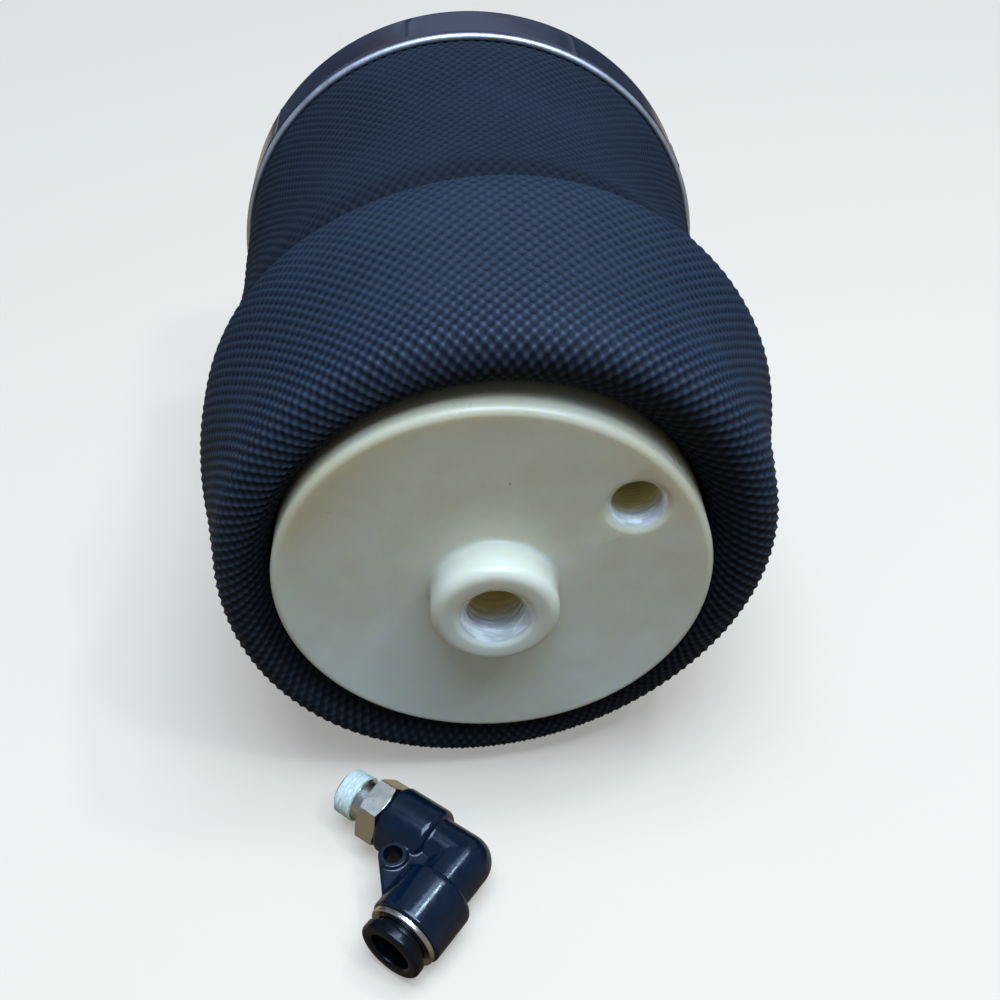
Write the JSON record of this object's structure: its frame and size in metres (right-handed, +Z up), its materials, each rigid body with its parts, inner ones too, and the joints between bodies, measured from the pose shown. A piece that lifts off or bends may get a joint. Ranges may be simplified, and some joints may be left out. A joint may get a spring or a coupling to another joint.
{
  "type": "air suspension spring",
  "caption": "Rolling-lobe air spring: plastic piston, corded rubber sleeve and crimped steel ring, lying beside its elbow push-in air fitting.",
  "frame": {"origin": "on the spring's axis, where it meets the piston's seat face, inside the fixing thread of the boss", "axes": "+Z up as the spring lies on its side, -Y out of the piston's seat face along the fixing thread, +Y towards the top plate, +X towards the air port's side"},
  "size_m": [0.115, 0.1815, 0.1137],
  "materials": {
    "piston_nylon": "satin moulded nylon, ivory with a green tint",
    "plate_nylon": "moulded nylon, ivory",
    "sleeve_rubber": "blue-black rubber with a raised diamond cord pattern",
    "plated_steel": "bright plated sheet steel",
    "zinc_steel": "zinc plated",
    "black_rubber": "moulded black rubber",
    "brass": "turned brass",
    "nickel": "nickel-plated brass",
    "sealant": "white thread sealant coat",
    "fitting_plastic": "satin blue-black moulded plastic",
    "release_plastic": "black moulded plastic",
    "claw_steel": "stainless spring sheet"
  },
  "bodies": {
    "piston": {"piston_cup": "piston_nylon", "piston_cap": "piston_nylon", "bellows": "sleeve_rubber", "lower_crimp_ring": "zinc_steel", "bump_stop": "black_rubber", "bump_stop_sleeve": "zinc_steel", "bump_stop_washer": "zinc_steel", "bump_stop_screw": "zinc_steel"},
    "top": {"top_plate": "plate_nylon", "upper_crimp_ring": "plated_steel", "blind_nuts": "brass"},
    "fitting": {"nipple": "nickel", "thread_sealant": "sealant", "swivel_seal": "black_rubber"},
    "elbow": {"elbow_body": "fitting_plastic", "tube_seal": "black_rubber", "seal_spacer": "release_plastic", "collet": "claw_steel", "guide_ring": "nickel"},
    "release": {"release_ring": "release_plastic"}
  },
  "joints": [
    {"name": "stroke", "type": "slide", "parent": "piston", "child": "top", "axis": [0, 1, 0], "range_m": [-0.012, 0.045], "stiffness_N_per_m": 400, "deforming": ["bellows"]},
    {"name": "fitting_lift", "type": "slide", "parent": "piston", "child": "fitting", "axis": [0, 0, 1], "range_m": [0, 0.1]},
    {"name": "elbow_swivel", "type": "hinge", "parent": "fitting", "child": "elbow", "pos_m": [-0.0073, -0.0252, -0.0487], "axis": [-0.788, 0.6157, 0], "continuous": true},
    {"name": "release_push", "type": "slide", "parent": "elbow", "child": "release", "axis": [0.6157, 0.788, 0], "range_m": [0, 0.001], "stiffness_N_per_m": 1500}
  ]
}
